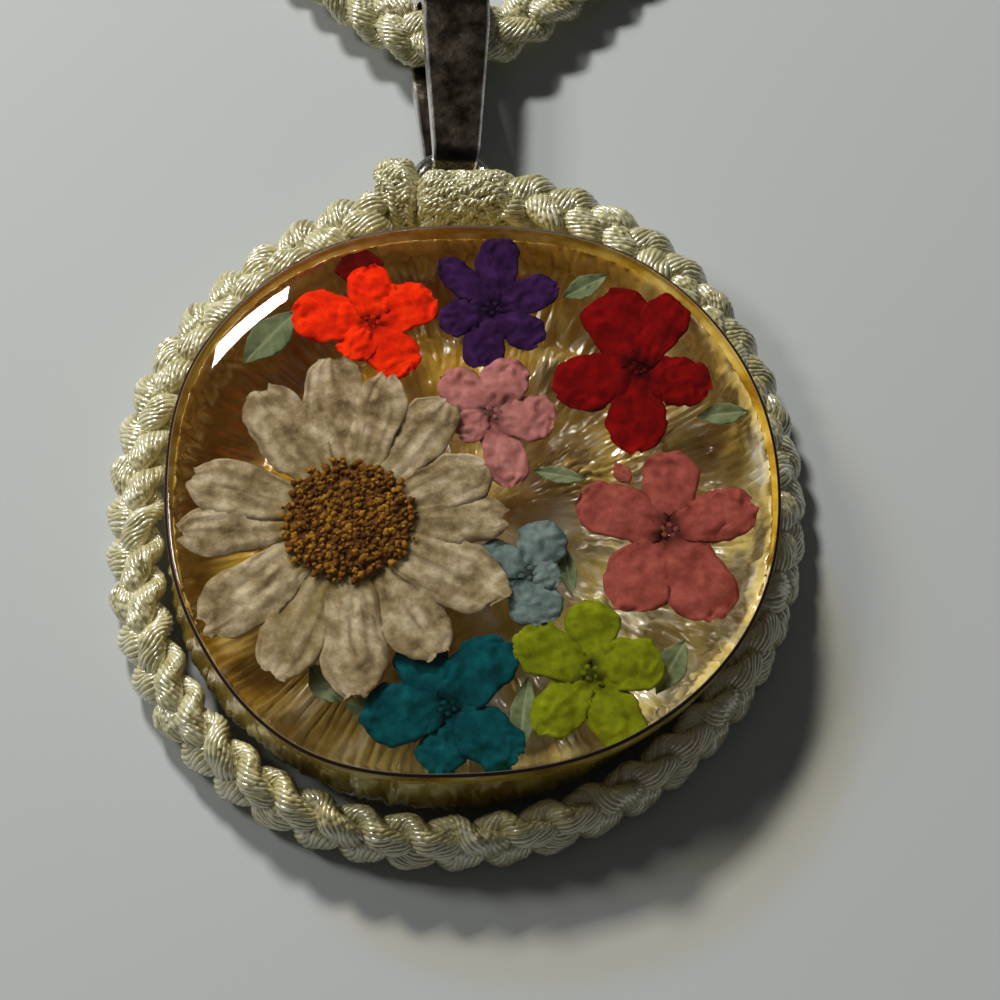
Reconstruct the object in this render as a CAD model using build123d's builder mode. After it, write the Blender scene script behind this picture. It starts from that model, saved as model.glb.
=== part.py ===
from build123d import *
from collections import namedtuple
from math import asin, cos, degrees, pi, radians, sin, sqrt, tan
import os

# Flower pendant, lying on its back with its braided neck cord laid out in a loop.
# Millimetres. The origin is on the surface it lies on, under the middle of the disc.
# +Z points out of the face, +Y points to the bail and the neck cord.

# Clearance between neighbouring pieces
gap = 0.1

# Clear resin disc
rim_radius = 18.0
rim_height = 8.0
lip_depth = 1.8
lip_draft = 0.25
dome_rise = 0.45
dome_edge = 3.6
dome_overrun = 1.6

# Satin cup behind and around the disc
satin_thickness = 0.6
satin_inset = 0.2
waist_setback = 0.85
waist_height = 3.2
base_setback = 4.7
bend_steps = 4
pleat_count = 48
pleat_depth = 0.22

# Uneven edges of the hand-made disc and cup
EdgeRow = namedtuple("EdgeRow", "direction rim waist")
edge_rows = [
    # direction from +X, counterclockwise, and how far the rim and the waist of the cup stand out
    # there from their radii
    EdgeRow(0, 0.05, -0.05),
    EdgeRow(30, 0.35, 0.40),
    EdgeRow(60, 0.65, 0.75),
    EdgeRow(90, 0.00, 0.85),
    EdgeRow(120, 0.90, 0.95),
    EdgeRow(150, 0.80, 1.35),
    EdgeRow(180, -0.15, 1.10),
    EdgeRow(210, 0.20, 1.60),
    EdgeRow(240, 0.90, 1.70),
    EdgeRow(270, 0.05, 1.05),
    EdgeRow(300, 0.20, 0.20),
    EdgeRow(330, 0.30, -0.30),
]
edge_steps = 24

# Three-strand braid, the same lay for the border and the neck cord
border_width = 3.7
braid_width = 4.3
braid_thickness = 2.66
strand_width = 1.2
strand_thickness = 0.84
weave_flatness = 0.2
braid_pitch = 8.1
strand_sides = 10
steps_per_pitch = 12

# Border route round the cup
BorderRow = namedtuple("BorderRow", "clock out height size tilt")
border_rows = [
    # clock in degrees from the bail, clockwise; out from the waist's radius to the middle of the
    # braid; height of that middle; size, a share of the braid's sway; tilt, outer side lower
    BorderRow(0, 5.05, 4.90, 1.18, 5),
    BorderRow(30, 4.22, 3.90, 1.05, 12),
    BorderRow(60, 2.56, 2.60, 0.95, 30),
    BorderRow(90, 1.55, 1.92, 0.90, 60),
    BorderRow(120, 1.30, 1.97, 0.90, 72),
    BorderRow(150, 1.80, 2.07, 0.95, 80),
    BorderRow(180, 2.65, 2.12, 1.00, 80),
    BorderRow(210, 3.35, 2.12, 1.05, 72),
    BorderRow(240, 3.40, 2.07, 1.10, 55),
    BorderRow(270, 3.20, 1.92, 1.10, 42),
    BorderRow(300, 4.30, 2.50, 1.05, 28),
    BorderRow(330, 4.40, 4.00, 1.10, 14),
]

# Jump ring
ring_x = -1.45
ring_out = 6.95
ring_height = 3.9
ring_radius = 2.275
ring_wire = 0.75
ring_tilt = 12.0

# Binding of the border ends over the ring, with a thicker knot at its left end
wrap_left = -6.0
knot_right = -3.7
knot_width = 6.0
knot_height = 5.8
knot_shift = 0.7
wrap_step = -2.6
wrap_right = 2.7
wrap_width = 4.8
wrap_height = 6.2
wrap_edge = 0.7

# Bail, a folded strip round the neck cord and the ring
bail_thickness = 0.45
bail_foot_width = 2.8
bail_top_width = 4.4
bail_skew = 0.3
bend_room = 0.73

# Clasp, a barrel with a socket for each end of the cord
clasp_length = 22.0
clasp_wall = 0.7
clasp_socket = 4.2
clasp_rounding = 0.5
clasp_end = clasp_length / 2 - clasp_socket + 2 * gap

# Neck cord
bail_reach = 12.3
neck_clearance = 0.05
NeckPoint = namedtuple("NeckPoint", "x y lift")
neck_points = [
    # x from the bail, y from the bend in the bail, lift above the lying height
    NeckPoint(-clasp_end, 167.5, 0.78),
    NeckPoint(-19.8, 167.5, 0.78),
    NeckPoint(-33.4, 160.8, 0.0),
    NeckPoint(-43.8, 146.2, 0.0),
    NeckPoint(-52.9, 123.2, 0.0),
    NeckPoint(-54.2, 94.8, 0.0),
    NeckPoint(-48.0, 66.4, 0.0),
    NeckPoint(-36.2, 40.6, 0.0),
    NeckPoint(-20.0, 18.7, 0.0),
    NeckPoint(-8.9, 6.4, 0.30),
    NeckPoint(-2.4, 0.0, 0.80),
    NeckPoint(2.4, 0.0, 0.80),
    NeckPoint(8.8, 6.2, 0.30),
    NeckPoint(20.3, 18.2, 0.0),
    NeckPoint(37.0, 39.6, 0.0),
    NeckPoint(49.5, 65.1, 0.0),
    NeckPoint(56.5, 93.6, 0.0),
    NeckPoint(55.5, 122.1, 0.0),
    NeckPoint(46.0, 145.6, 0.0),
    NeckPoint(35.0, 160.6, 0.0),
    NeckPoint(20.5, 167.5, 0.78),
    NeckPoint(clasp_end, 167.5, 0.78),
]
bend_share = 0.45

# Pressed flowers inside the resin
leaf_level = 5.75
flower_level = 6.35
daisy_level = 6.95
leaf_thickness = 0.25
petal_thickness = 0.35
flower_play = 0.07
wall_cover = 0.3
eye_radius = 0.75
daisy_eye_radius = 3.9
daisy_eye_height = 0.6
Petal = namedtuple("Petal", "direction reach width")
Flower = namedtuple("Flower", "name x y size petals")

# x, y and size are shares of the rim's radius, reach and width of each petal shares of the size
flowers = [
    Flower("orange_flower", -0.339, 0.633, 0.244, [
        Petal(171, 1.05, 0.73), Petal(93, 0.87, 0.60), Petal(28, 0.91, 0.70),
        Petal(-57, 0.92, 0.66), Petal(-118, 0.62, 0.52)]),
    Flower("purple_flower", 0.067, 0.689, 0.244, [
        Petal(85, 1.12, 0.56), Petal(132, 1.00, 0.43), Petal(197, 0.72, 0.50),
        Petal(260, 0.92, 0.50), Petal(-40, 0.84, 0.50), Petal(23, 0.94, 0.52)]),
    Flower("red_flower", 0.556, 0.456, 0.294, [
        Petal(109, 1.02, 0.68), Petal(64, 1.02, 0.50), Petal(-20, 0.80, 0.57),
        Petal(266, 1.05, 0.60), Petal(198, 0.96, 0.64)]),
    Flower("pink_flower", 0.061, 0.283, 0.233, [
        Petal(134, 0.90, 0.57), Petal(68, 0.90, 0.62), Petal(-8, 0.88, 0.66),
        Petal(-73, 1.15, 0.55), Petal(215, 0.55, 0.50)]),
    Flower("coral_flower", 0.639, -0.150, 0.300, [
        Petal(88, 0.94, 0.56), Petal(19, 0.93, 0.57), Petal(-66, 1.06, 0.68),
        Petal(-121, 1.00, 0.66), Petal(157, 1.00, 0.60)]),
    Flower("blue_flower", 0.183, -0.300, 0.183, [
        Petal(68, 1.02, 0.80), Petal(148, 0.92, 0.60), Petal(-77, 0.95, 0.86),
        Petal(212, 0.58, 0.48), Petal(-8, 0.55, 0.48)]),
    Flower("teal_flower", -0.067, -0.761, 0.261, [
        Petal(120, 0.98, 0.58), Petal(53, 1.04, 0.68), Petal(-36, 0.98, 0.62),
        Petal(-98, 0.74, 0.52), Petal(186, 0.98, 0.72)]),
    Flower("lime_flower", 0.378, -0.644, 0.250, [
        Petal(88, 0.96, 0.62), Petal(152, 1.02, 0.64), Petal(-131, 0.96, 0.56),
        Petal(-62, 0.96, 0.62), Petal(14, 0.88, 0.66)]),
]
daisy = Flower("daisy_petals", -0.394, -0.122, 0.567, [
    Petal(97, 1.08, 0.33), Petal(78, 0.98, 0.26), Petal(55, 0.96, 0.30), Petal(23, 0.86, 0.29),
    Petal(1, 0.91, 0.26), Petal(-29, 1.00, 0.35), Petal(-58, 0.99, 0.33), Petal(-86, 1.07, 0.30),
    Petal(-112, 1.02, 0.32), Petal(-140, 1.02, 0.34), Petal(184, 0.97, 0.27),
    Petal(163, 0.95, 0.30), Petal(123, 1.02, 0.33)])

Leaf = namedtuple("Leaf", "x y length width direction")
leaves = [
    # shares of the rim's radius, and the direction of the leaf's rib
    Leaf(0.383, 0.789, 0.172, 0.083, 30),
    Leaf(0.828, 0.294, 0.167, 0.083, 8),
    Leaf(0.289, 0.067, 0.178, 0.061, -11),
    Leaf(-0.678, 0.589, 0.261, 0.128, 51),
    Leaf(0.628, -0.606, 0.206, 0.094, 61),
    Leaf(0.167, -0.772, 0.256, 0.083, 83),
    Leaf(-0.450, -0.667, 0.161, 0.100, -50),
    Leaf(-0.339, -0.744, 0.106, 0.061, -20),
    Leaf(0.311, -0.278, 0.183, 0.061, 100),
]
dark_petal = Leaf(-0.389, 0.833, 0.172, 0.144, 12)
bud = Leaf(0.494, 0.061, 0.094, 0.061, -60)

# Worked out from the sizes above
waist_radius = rim_radius - waist_setback
base_radius = rim_radius - base_setback
wrap_y = waist_radius + border_rows[0].out
ring_y = waist_radius + ring_out
neck_y = ring_y + bail_reach
daisy_x = daisy.x * rim_radius
daisy_y = daisy.y * rim_radius
face_height = rim_height + dome_rise
dome_flat = rim_radius - dome_edge
dome_reach = rim_radius + dome_overrun
dome_bend = (dome_edge ** 2 + dome_rise ** 2) / (2 * dome_rise)
dome_drop = dome_bend - sqrt(dome_bend ** 2 - (dome_reach - dome_flat) ** 2)
satin_top = rim_height - lip_depth - gap
satin_top_inset = lip_draft + satin_inset
resin_floor = satin_thickness + gap
resin_inset = satin_thickness + gap
strand_sway = (border_width - strand_width) / 2
strand_dip = (braid_thickness - strand_thickness) / 2
neck_height = braid_thickness / 2 + neck_clearance


def trimmed_radius(height):
    """Largest radius that a pressed flower may reach at a height."""
    if height >= satin_top + gap:
        return rim_radius - lip_draft - wall_cover
    return rim_radius - satin_top_inset - resin_inset - wall_cover


def eased(rows, name, angle):
    """A column's value at an angle, eased between rows at even steps round the circle."""
    step = 360 / len(rows)
    index = int(angle % 360 // step)
    share = angle % 360 / step - index
    near = [getattr(rows[(index + offset) % len(rows)], name) for offset in (-1, 0, 1, 2)]
    before, first, last, after = near
    bend = 2 * before - 5 * first + 4 * last - after
    swing = 3 * first - before - 3 * last + after
    return first + 0.5 * share * (last - before + share * (bend + share * swing))


def rim_reach(direction):
    """Radius of the disc's rim at a direction."""
    return rim_radius + eased(edge_rows, "rim", direction)


def waist_reach(direction):
    """Radius of the cup's waist at a direction."""
    return waist_radius + eased(edge_rows, "waist", direction)


def edge_points(reach):
    """Points all round the middle, for a closed spline; reach gives the radius at a direction."""
    directions = [360 * step / edge_steps for step in range(edge_steps)]
    return [(reach(direction) * cos(radians(direction)), reach(direction) * sin(radians(direction)))
            for direction in directions]


def cup_body(inset, floor):
    """Bowl with a round bend up to its uneven waist, then a wall up to the disc's outline."""
    with BuildPart() as body:
        for step in range(bend_steps + 1):
            turn = pi / 2 * step / bend_steps
            with BuildSketch(Plane.XY.offset(floor + (waist_height - floor) * (1 - cos(turn)))):
                with BuildLine():
                    Spline(*edge_points(lambda direction: base_radius + sin(turn)
                                        * (waist_reach(direction) - inset - base_radius)), periodic=True)
                make_face()
        with BuildSketch(Plane.XY.offset(satin_top)):
            with BuildLine():
                Spline(*edge_points(lambda direction: rim_reach(direction) - satin_top_inset - inset),
                       periodic=True)
            make_face()
        loft(ruled=True)
    return body.part


def pressed_flower(flower, eye, level, thickness, grow):
    """A flat pressed flower of overlapping oval petals; grow widens it all round."""
    with BuildPart() as pressed:
        with BuildSketch(Plane.XY.offset(level - grow)):
            x = flower.x * rim_radius
            y = flower.y * rim_radius
            size = flower.size * rim_radius
            with Locations((x, y)):
                Circle(eye + grow)
            for petal in flower.petals:
                reach = petal.reach * size
                root = eye * 0.4
                middle = (reach + root) / 2
                turn = radians(petal.direction)
                spot = (x + middle * cos(turn), y + middle * sin(turn), 0)
                with Locations(Location(spot, (0, 0, petal.direction))):
                    Ellipse((reach - root) / 2 + grow, petal.width * size / 2 + grow)
        extrude(amount=thickness + 2 * grow)
        Cylinder(trimmed_radius(level) + grow, face_height * 2, mode=Mode.INTERSECT)
    return pressed.part


def pressed_leaf(leaf, level, thickness, grow):
    """A flat pressed leaf: two arcs that meet in points."""
    with BuildPart() as pressed:
        spot = Location((leaf.x * rim_radius, leaf.y * rim_radius, level - grow), (0, 0, leaf.direction))
        half = leaf.length * rim_radius / 2 + grow
        side = leaf.width * rim_radius / 2 + grow
        with BuildSketch(Plane(spot)):
            with BuildLine():
                ThreePointArc((-half, 0), (0, side), (half, 0))
                ThreePointArc((half, 0), (0, -side), (-half, 0))
            make_face()
        extrude(amount=thickness + 2 * grow)
        Cylinder(trimmed_radius(level) + grow, face_height * 2, mode=Mode.INTERSECT)
    return pressed.part


def border_row(clock):
    """Radius, height, size and tilt of the border at a clock angle."""
    out, height, size, tilt = [eased(border_rows, name, clock) for name in ("out", "height", "size", "tilt")]
    return waist_radius + out, height, size, tilt


def border_point(clock):
    """Middle of the border braid at a clock angle."""
    radius, height, _, _ = border_row(clock)
    turn = radians(clock)
    return Vector(radius * sin(turn), radius * cos(turn), height)


def border_stations():
    """Clock angles at even steps of length, from the right of the wrap round to its left."""
    end_radius = waist_radius + border_rows[0].out
    end_room = gap + strand_sway * 0.5
    first = degrees(asin((wrap_right + end_room) / end_radius))
    last = 360 + degrees(asin((wrap_left - end_room) / end_radius))
    fine = 720
    clocks = [first + (last - first) * i / fine for i in range(fine + 1)]
    lengths = [0.0]
    for one, two in zip(clocks, clocks[1:]):
        lengths.append(lengths[-1] + (border_point(two) - border_point(one)).length)
    count = round(lengths[-1] / braid_pitch * steps_per_pitch)
    stations = []
    index = 0
    for step in range(count + 1):
        target = lengths[-1] * step / count
        while index < fine - 1 and lengths[index + 1] < target:
            index += 1
        share = (target - lengths[index]) / (lengths[index + 1] - lengths[index])
        stations.append(clocks[index] + (clocks[index + 1] - clocks[index]) * share)
    return stations, lengths[-1]


def strand_point(clock, phase):
    """Middle of one strand, with the way out of the braid's face."""
    _, _, size, slope = border_row(clock)
    turn = radians(clock)
    outward = Vector(sin(turn), cos(turn), 0)
    upward = Vector(0, 0, 1)
    tilt = radians(slope)
    across = outward * cos(tilt) - upward * sin(tilt)
    facing = outward * sin(tilt) + upward * cos(tilt)
    sway = strand_sway * size * sin(phase)
    dip = strand_dip * (sin(2 * phase) + weave_flatness * sin(6 * phase))
    return border_point(clock) + across * sway + facing * dip, facing


def braid_strand(lag):
    """One strand of the border braid, as a closed solid of flat faces."""
    stations, length = border_stations()
    turns = 2 * pi * length / braid_pitch
    count = len(stations) - 1
    middles = []
    for index, clock in enumerate(stations):
        middles.append(strand_point(clock, turns * index / count + lag))
    rings = []
    for index, (middle, facing) in enumerate(middles):
        before = middles[max(index - 1, 0)][0]
        after = middles[min(index + 1, count)][0]
        along = (after - before).normalized()
        thin = (facing - along * facing.dot(along)).normalized()
        wide = along.cross(thin)
        ring = []
        for side in range(strand_sides):
            turn = 2 * pi * side / strand_sides
            aside = strand_width / 2 * cos(turn)
            above = strand_thickness / 2 * sin(turn)
            ring.append(middle + wide * aside + thin * above)
        rings.append(ring)
    faces = []
    for one, two in zip(rings, rings[1:]):
        for side in range(strand_sides):
            after = (side + 1) % strand_sides
            faces.append(triangle(one[side], two[side], two[after]))
            faces.append(triangle(one[side], two[after], one[after]))
    for ring in (rings[0], rings[-1]):
        for side in range(1, strand_sides - 1):
            faces.append(triangle(ring[0], ring[side], ring[side + 1]))
    return Solid(Shell(faces))


def triangle(one, two, three):
    return Face(Wire.make_polygon([one, two, three], close=True))


def cord_radii(points):
    """Arc radius at each corner: a share of the shorter run over the tangent of half the turn."""
    radii = []
    for before, here, after in zip(points, points[1:], points[2:]):
        turn = (here - before).get_angle(after - here)
        shorter = min((here - before).length, (after - here).length)
        radii.append(bend_share * shorter / tan(radians(turn) / 2))
    return radii


# Resin disc, with the flowers' places left inside it
cavities = [pressed_flower(flower, eye_radius, flower_level, petal_thickness, flower_play)
            for flower in flowers]
cavities.append(pressed_flower(daisy, daisy_eye_radius, daisy_level, petal_thickness, flower_play))
cavities.extend(pressed_leaf(leaf, leaf_level, leaf_thickness, flower_play) for leaf in leaves)
cavities.append(pressed_leaf(dark_petal, leaf_level, leaf_thickness, flower_play))
cavities.append(pressed_leaf(bud, flower_level, petal_thickness, flower_play))

eye_base = daisy_level + petal_thickness + flower_play * 2
eye_top = eye_base + daisy_eye_height

resin_body = cup_body(resin_inset, resin_floor)

with BuildPart() as resin_lip:
    for height, inset in ((satin_top + gap, lip_draft), (face_height, -lip_draft * dome_rise / lip_depth)):
        with BuildSketch(Plane.XY.offset(height)):
            with BuildLine():
                Spline(*edge_points(lambda direction: rim_reach(direction) - inset), periodic=True)
            make_face()
    loft()
    with BuildSketch(Plane.XZ):
        with BuildLine():
            Polyline((dome_flat, face_height), (0, face_height), (0, satin_top), (dome_reach, satin_top),
                     (dome_reach, face_height - dome_drop))
            TangentArc((dome_flat, face_height), (dome_reach, face_height - dome_drop), tangent=(1, 0))
        make_face()
    revolve(axis=Axis.Z, mode=Mode.INTERSECT)

with BuildPart() as resin_cabochon:
    add(resin_body)
    with BuildSketch(Plane.XY.offset(satin_top)):
        with BuildLine():
            Spline(*edge_points(lambda direction: rim_reach(direction) - satin_top_inset - resin_inset),
                   periodic=True)
        make_face()
    extrude(amount=gap)
    add(resin_lip.part)
    add(cavities, mode=Mode.SUBTRACT)
    with BuildSketch(Plane.XY.offset(eye_base - flower_play)):
        with Locations((daisy_x, daisy_y)):
            Circle(daisy_eye_radius + flower_play)
    extrude(amount=daisy_eye_height + 2 * flower_play, mode=Mode.SUBTRACT)
resin_cabochon.part.label = "resin_cabochon"

# Satin cup, gathered into pleats up its side
cup_outside = cup_body(0, 0)
cup_inside = cup_body(satin_thickness, satin_thickness)
pleat_places = []
for pleat in range(pleat_count):
    direction = 360 * pleat / pleat_count
    outward = Vector(cos(radians(direction)), sin(radians(direction)), 0)
    low = outward * waist_reach(direction) + Vector(0, 0, waist_height)
    high = outward * (rim_reach(direction) - satin_top_inset) + Vector(0, 0, satin_top + gap)
    pleat_places.append(Plane(origin=low, z_dir=high - low).location)

with BuildPart() as satin_backing:
    add(cup_outside)
    add(cup_inside, mode=Mode.SUBTRACT)
    with Locations(*pleat_places):
        Cylinder(pleat_depth, satin_top - waist_height + gap * 2, mode=Mode.SUBTRACT,
                 align=(Align.CENTER, Align.CENTER, Align.MIN))
satin_backing.part.label = "satin_backing"

# Border braid
border_strands = []
for number, letter in enumerate("abc"):
    with BuildPart() as border_strand:
        add(braid_strand(2 * pi * number / 3))
    border_strand.part.label = "border_strand_" + letter
    border_strands.append(border_strand.part)

# Jump ring, its near side lower
ring_plane = Plane(origin=(ring_x, ring_y, ring_height), x_dir=(1, 0, 0),
                   z_dir=(0, sin(radians(ring_tilt)), cos(radians(ring_tilt))))

with BuildPart(ring_plane) as jump_ring:
    Torus(ring_radius, ring_wire / 2)
jump_ring.part.label = "jump_ring"

# Binding over the ring and the knot beside it, with a tunnel for the ring's wire
with BuildPart() as ring_wrap:
    with BuildSketch(Plane.YZ.offset(wrap_left)):
        with Locations((wrap_y + knot_shift, knot_height / 2 + neck_clearance)):
            Ellipse(knot_width / 2, knot_height / 2)
    extrude(amount=knot_right - wrap_left)
    with BuildSketch(Plane.YZ.offset((wrap_left + knot_right) / 2)):
        with Locations((wrap_y, wrap_height / 2 + neck_clearance)):
            Ellipse(wrap_width / 2, wrap_height / 2)
    extrude(amount=wrap_right - (wrap_left + knot_right) / 2)
    ends = ring_wrap.edges().filter_by(GeomType.ELLIPSE).sort_by(Axis.X)
    fillet((ends[0], ends[-1]), wrap_edge)
    with BuildSketch(Plane.XY.offset(ring_height - ring_wire)):
        with Locations((wrap_step, wrap_y)):
            Rectangle(wrap_step - knot_right, knot_width * 2, align=(Align.MAX, Align.CENTER))
    extrude(amount=wrap_height, mode=Mode.SUBTRACT)
    with Locations(ring_plane.location):
        Torus(ring_radius, ring_wire / 2 + gap, mode=Mode.SUBTRACT)
ring_wrap.part.label = "ring_wrap"

# Neck cord, a whole loop from one end of the clasp to the other
cord_points = [Vector(ring_x + point.x, neck_y + point.y, neck_height + point.lift)
               for point in neck_points]
first_run = (cord_points[1] - cord_points[0]).normalized()
radii = cord_radii(cord_points)

with BuildPart() as neck_cord:
    with BuildLine():
        neck_line = FilletPolyline(*cord_points, radius=radii)
    with BuildSketch(Plane(origin=cord_points[0], x_dir=(0, 1, 0), z_dir=first_run)) as cord_section:
        Ellipse(braid_width / 2, braid_thickness / 2)
    sweep(path=neck_line)
neck_cord.part.label = "neck_cord"
cord_length = neck_line.length
print("neck cord length", round(cord_length, 1))
print("neck cord smallest arc", round(min(radii), 1))
print("neck cord volume share", round(neck_cord.part.volume / (cord_section.sketch.area * cord_length), 4))

# Bail, a strip folded round the cord and closed round the ring's wire
cord_height = neck_height + neck_points[len(neck_points) // 2].lift
foot_reach = bail_foot_width / 2
ring_sag = ring_radius - sqrt(ring_radius ** 2 - foot_reach ** 2)
ring_top_y = ring_y + ring_radius * cos(radians(ring_tilt))
ring_top_height = ring_height - ring_radius * sin(radians(ring_tilt))
foot_radius = ring_wire / 2 + gap + ring_sag * 0.75
foot_y = ring_top_y - ring_sag - ring_wire / 2 - gap + foot_radius
fold_radius = cord_height - neck_clearance - bail_thickness
fold_y = neck_y + braid_width * bend_room - fold_radius

with BuildPart() as bail:
    for grow, mode in ((bail_thickness, Mode.ADD), (0, Mode.SUBTRACT)):
        with BuildSketch(Plane.YZ.offset(ring_x)):
            with Locations((foot_y, ring_top_height)):
                Circle(foot_radius + grow)
            with Locations((fold_y, cord_height)):
                Circle(fold_radius + grow)
            make_hull()
        extrude(amount=bail_top_width, both=True, mode=mode)
    with BuildSketch(Plane.XY.offset(ring_top_height)):
        with BuildLine():
            Polyline((ring_x - bail_foot_width / 2, foot_y - foot_radius - bail_thickness),
                     (ring_x + bail_foot_width / 2, foot_y - foot_radius - bail_thickness),
                     (ring_x + bail_top_width / 2, neck_y),
                     (ring_x + bail_top_width / 2, fold_y + fold_radius * 2),
                     (ring_x - bail_top_width / 2, fold_y + fold_radius * 2),
                     (ring_x - bail_top_width / 2, neck_y), close=True)
        make_face()
    extrude(amount=cord_height * 3, both=True, dir=(bail_skew, 0, 1), mode=Mode.INTERSECT)
bail.part.label = "bail"

# Clasp, a plain oval barrel with a socket at each end
clasp_y = cord_points[0].Y
clasp_middle = cord_points[0].Z
socket_width = braid_width + 2 * gap
socket_height = braid_thickness + 2 * gap

with BuildPart() as clasp:
    with BuildSketch(Plane.YZ.offset(ring_x - clasp_length / 2)):
        with Locations((clasp_y, clasp_middle)):
            Ellipse(socket_width / 2 + clasp_wall, socket_height / 2 + clasp_wall)
    extrude(amount=clasp_length)
    fillet(clasp.edges().filter_by(GeomType.ELLIPSE), clasp_rounding)
    for side in (-1, 1):
        with BuildSketch(Plane.YZ.offset(ring_x + side * clasp_length / 2)):
            with Locations((clasp_y, clasp_middle)):
                Ellipse(socket_width / 2, socket_height / 2)
        extrude(amount=-side * clasp_socket, mode=Mode.SUBTRACT)
clasp.part.label = "clasp"

# Flowers and leaves
pressed_parts = []
for flower in flowers:
    with BuildPart() as small_flower:
        add(pressed_flower(flower, eye_radius, flower_level, petal_thickness, 0))
    small_flower.part.label = flower.name
    pressed_parts.append(small_flower.part)

with BuildPart() as daisy_petals:
    add(pressed_flower(daisy, daisy_eye_radius, daisy_level, petal_thickness, 0))
daisy_petals.part.label = daisy.name

with BuildPart() as daisy_disc:
    with BuildSketch(Plane.XY.offset(eye_base)):
        with Locations((daisy_x, daisy_y)):
            Circle(daisy_eye_radius)
    extrude(amount=daisy_eye_height)
    fillet(daisy_disc.faces().sort_by(Axis.Z)[-1].edges(), daisy_eye_height * 0.8)
daisy_disc.part.label = "daisy_disc"

for number, leaf in enumerate(leaves, start=1):
    with BuildPart() as leaf_part:
        add(pressed_leaf(leaf, leaf_level, leaf_thickness, 0))
    leaf_part.part.label = "leaf_" + str(number)
    pressed_parts.append(leaf_part.part)

for name, level, thickness, shape in (("dark_red_petal", leaf_level, leaf_thickness, dark_petal),
                                      ("coral_bud", flower_level, petal_thickness, bud)):
    with BuildPart() as loose_bit:
        add(pressed_leaf(shape, level, thickness, 0))
    loose_bit.part.label = name
    pressed_parts.append(loose_bit.part)

os.makedirs("parts", exist_ok=True)
pieces = [resin_cabochon.part, satin_backing.part, jump_ring.part, ring_wrap.part, bail.part,
          neck_cord.part, clasp.part, daisy_petals.part, daisy_disc.part]
for piece in pieces + border_strands + pressed_parts:
    export_step(piece, "parts/" + piece.label + ".step")
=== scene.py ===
import math
import random
import bpy
import numpy as np
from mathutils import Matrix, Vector, noise


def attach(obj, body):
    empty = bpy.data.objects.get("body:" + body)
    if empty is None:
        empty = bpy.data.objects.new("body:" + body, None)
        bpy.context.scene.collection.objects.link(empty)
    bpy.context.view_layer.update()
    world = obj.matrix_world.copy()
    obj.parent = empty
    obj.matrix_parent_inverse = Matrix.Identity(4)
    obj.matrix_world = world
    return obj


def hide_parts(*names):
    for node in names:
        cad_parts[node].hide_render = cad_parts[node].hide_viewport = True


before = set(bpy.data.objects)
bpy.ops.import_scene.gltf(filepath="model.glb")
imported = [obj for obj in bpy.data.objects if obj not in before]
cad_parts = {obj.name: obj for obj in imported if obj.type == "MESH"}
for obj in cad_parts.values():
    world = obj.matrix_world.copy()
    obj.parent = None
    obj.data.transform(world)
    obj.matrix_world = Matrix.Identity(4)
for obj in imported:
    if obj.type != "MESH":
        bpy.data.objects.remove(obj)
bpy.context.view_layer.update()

scene = bpy.context.scene
mm = 0.001
print("frame loaded")

# Small helpers

def addObject(name, data):
    item = bpy.data.objects.new(name, data)
    scene.collection.objects.link(item)
    return item


def evaluatedMesh(item):
    graph = bpy.context.evaluated_depsgraph_get()
    return bpy.data.meshes.new_from_object(item.evaluated_get(graph))


def floatLayer(piece, name, values):
    layer = piece.data.attributes.new(name, "FLOAT", "POINT")
    layer.data.foreach_set("value", values)


def ripple(x, y, z):
    return noise.noise(Vector((x, y, z)))


def clamp(value, top=1.0):
    return max(0.0, min(top, value))


def turns(around):
    return [2 * math.pi * k / around for k in range(around)]


def ringSpot(turn, radius, height):
    return (radius * math.cos(turn), radius * math.sin(turn), height)


def newPiece(name, points, faces, smooth=True):
    # points in millimetres
    mesh = bpy.data.meshes.new(name)
    mesh.from_pydata([tuple(Vector(p) * mm) for p in points], [], faces)
    mesh.validate()
    mesh.polygons.foreach_set("use_smooth", [smooth] * len(mesh.polygons))
    return addObject(name, mesh)


def addNode(tree, kind, inputs=None, **settings):
    node = tree.nodes.new(kind)
    for name, value in settings.items():
        setattr(node, name, value)
    for key, value in (inputs or {}).items():
        if isinstance(value, bpy.types.NodeSocket):
            tree.links.new(value, node.inputs[key])
        else:
            node.inputs[key].default_value = value
    return node


def newMaterial(name, **values):
    mat = bpy.data.materials.new(name)
    mat.use_nodes = True
    tree = mat.node_tree
    shader = tree.nodes["Principled BSDF"]
    for key, value in values.items():
        shader.inputs[key.replace("_", " ")].default_value = value
    return mat, tree, shader


def calc(tree, op, *values, **settings):
    return addNode(tree, "ShaderNodeMath", dict(enumerate(values)), operation=op, **settings).outputs[0]


def layerValue(tree, name):
    return addNode(tree, "ShaderNodeAttribute", attribute_name=name).outputs["Fac"]


def objectAxes(tree):
    coord = addNode(tree, "ShaderNodeTexCoord").outputs["Object"]
    return addNode(tree, "ShaderNodeSeparateXYZ", {0: coord}).outputs


def plug(output, node, key):
    node.id_data.links.new(output, node.inputs[key])


def paint(shader, colour):
    plug(colour, shader, "Base Color")


def mapRange(tree, value, *ends):
    names = ("From Min", "From Max", "To Min", "To Max")
    return addNode(tree, "ShaderNodeMapRange", dict(zip(names, ends), Value=value)).outputs[0]


def objectNoise(tree, scale, detail=3.0, rough=0.55, stretch=None):
    coord = addNode(tree, "ShaderNodeTexCoord").outputs["Object"]
    if stretch:
        coord = addNode(tree, "ShaderNodeMapping", {"Vector": coord, "Scale": stretch}).outputs[0]
    return addNode(tree, "ShaderNodeTexNoise", {"Vector": coord, "Scale": scale, "Detail": detail,
                                                "Roughness": rough}).outputs["Fac"]


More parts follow.
